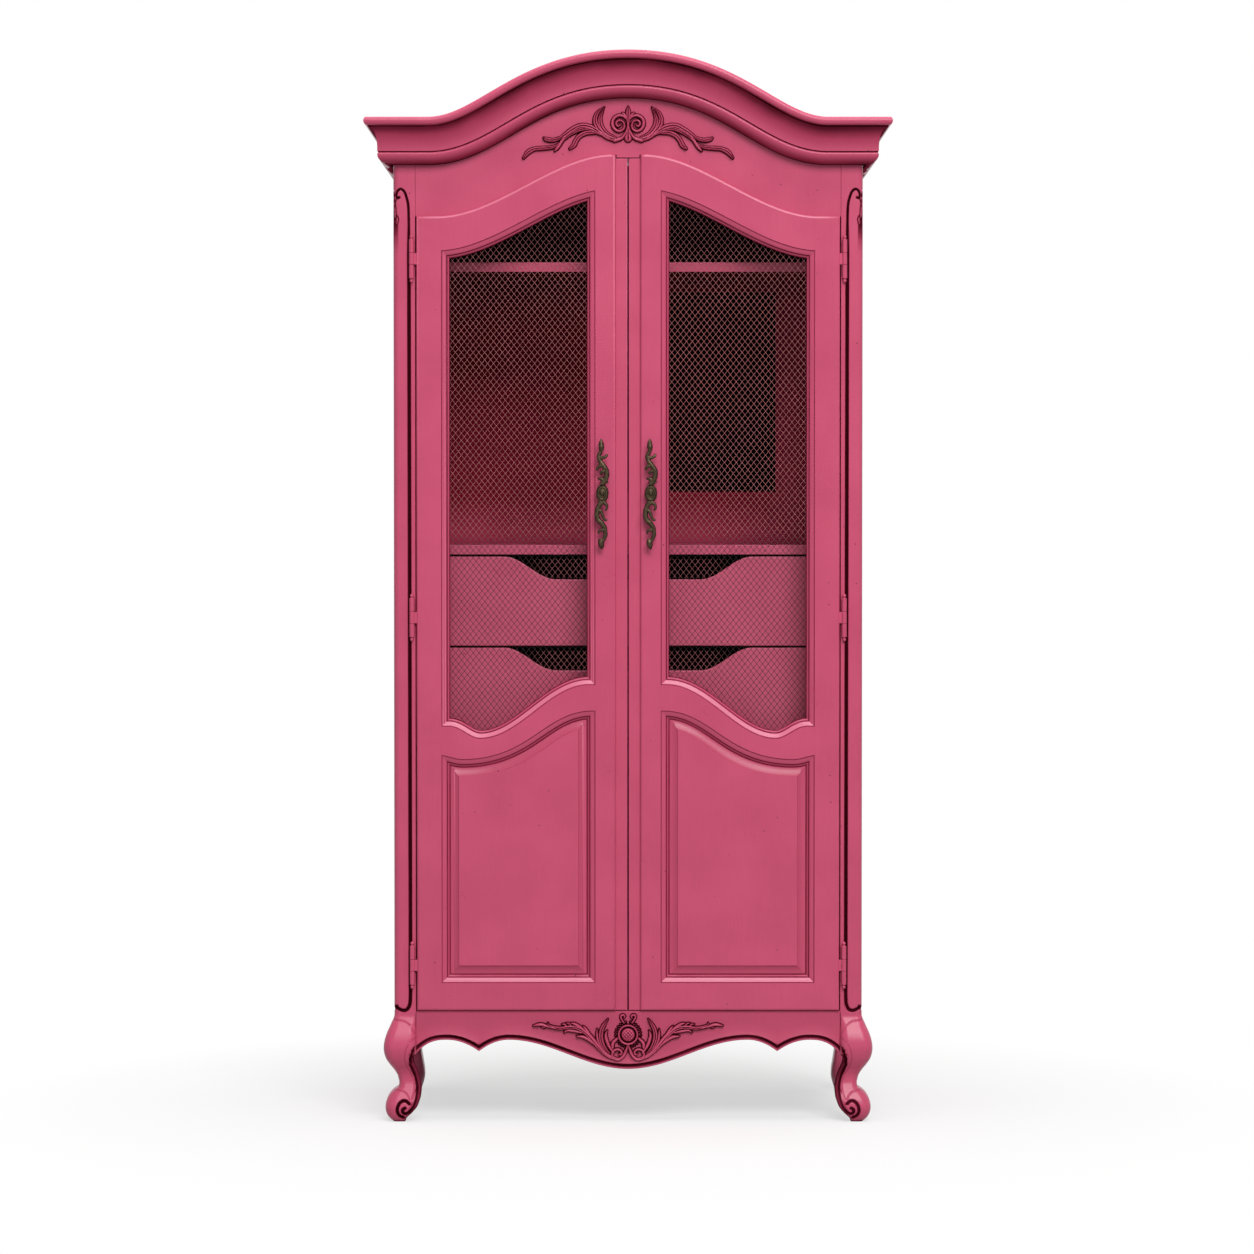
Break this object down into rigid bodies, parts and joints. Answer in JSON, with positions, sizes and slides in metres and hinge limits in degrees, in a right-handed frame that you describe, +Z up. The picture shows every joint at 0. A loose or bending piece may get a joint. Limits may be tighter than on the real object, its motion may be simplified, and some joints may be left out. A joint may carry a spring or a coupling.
{
  "type": "armoire",
  "caption": "Tall painted armoire with a bonnet-shaped cornice, cabriole legs, wire-mesh doors over raised panels, inner shelves and scooped drawers.",
  "frame": {"origin": "on the floor, under the centre of the bounding box", "axes": "+Z up, -Y towards the front, +X to the right as seen from the front"},
  "size_m": [1.0746, 0.5972, 2.189],
  "materials": {
    "pink_paint": "satin paint with dark glaze in the recesses",
    "maroon_paint": "matt paint",
    "black_board": "matt",
    "raw_wood": "raw",
    "hinge_paint": "satin paint",
    "handle_bronze": "antique bronze",
    "mesh_wire": "dull",
    "catch_steel": "plain"
  },
  "bodies": {
    "carcass": {"front_left_post": "pink_paint", "front_right_post": "pink_paint", "back_left_post": "pink_paint", "back_right_post": "pink_paint", "left_side_panel": "pink_paint", "right_side_panel": "pink_paint", "left_side_apron": "pink_paint", "right_side_apron": "pink_paint", "cornice_front": "pink_paint", "cornice_left_return": "pink_paint", "cornice_right_return": "pink_paint", "frieze_board": "pink_paint", "frieze_carving": "pink_paint", "front_apron": "pink_paint", "apron_carving": "pink_paint", "top_board": "pink_paint", "bottom_board": "maroon_paint", "upper_shelf": "pink_paint", "lower_shelf": "pink_paint", "back_panel": "maroon_paint", "rear_access_cover": "black_board", "left_drawer_runner_board": "raw_wood", "right_drawer_runner_board": "raw_wood", "left_top_post_hinge_leaf": "hinge_paint", "left_middle_post_hinge_leaf": "hinge_paint", "left_bottom_post_hinge_leaf": "hinge_paint", "right_top_post_hinge_leaf": "hinge_paint", "right_middle_post_hinge_leaf": "hinge_paint", "right_bottom_post_hinge_leaf": "hinge_paint", "magnetic_catch": "catch_steel"},
    "left_door": {"left_door_hinge_stile": "pink_paint", "left_door_meeting_stile": "pink_paint", "left_door_top_rail": "pink_paint", "left_door_mid_rail": "pink_paint", "left_door_bottom_rail": "pink_paint", "left_door_lower_panel": "pink_paint", "left_door_wire_mesh": "mesh_wire", "left_door_handle": "handle_bronze", "left_door_catch_plate": "catch_steel", "left_top_door_hinge_leaf": "hinge_paint", "left_middle_door_hinge_leaf": "hinge_paint", "left_bottom_door_hinge_leaf": "hinge_paint"},
    "right_door": {"right_door_hinge_stile": "pink_paint", "right_door_meeting_stile": "pink_paint", "right_door_top_rail": "pink_paint", "right_door_mid_rail": "pink_paint", "right_door_bottom_rail": "pink_paint", "right_door_lower_panel": "pink_paint", "right_door_wire_mesh": "mesh_wire", "right_door_handle": "handle_bronze", "right_door_catch_plate": "catch_steel", "right_top_door_hinge_leaf": "hinge_paint", "right_middle_door_hinge_leaf": "hinge_paint", "right_bottom_door_hinge_leaf": "hinge_paint"},
    "upper_drawer": {"upper_drawer_front": "pink_paint", "upper_drawer_box": "raw_wood", "upper_drawer_bottom": "raw_wood"},
    "lower_drawer": {"lower_drawer_front": "pink_paint", "lower_drawer_box": "raw_wood", "lower_drawer_bottom": "raw_wood"}
  },
  "joints": [
    {"name": "left_door_swing", "type": "hinge", "parent": "carcass", "child": "left_door", "pos_m": [-0.4425, -0.24665, 1.035], "axis": [0, 0, -1], "range_deg": [0, 165]},
    {"name": "right_door_swing", "type": "hinge", "parent": "carcass", "child": "right_door", "pos_m": [0.4425, -0.24665, 1.035], "axis": [0, 0, 1], "range_deg": [0, 165]},
    {"name": "upper_drawer_slide", "type": "slide", "parent": "carcass", "child": "upper_drawer", "axis": [0, -1, 0], "range_m": [0, 0.055]},
    {"name": "lower_drawer_slide", "type": "slide", "parent": "carcass", "child": "lower_drawer", "axis": [0, -1, 0], "range_m": [0, 0.055]}
  ]
}
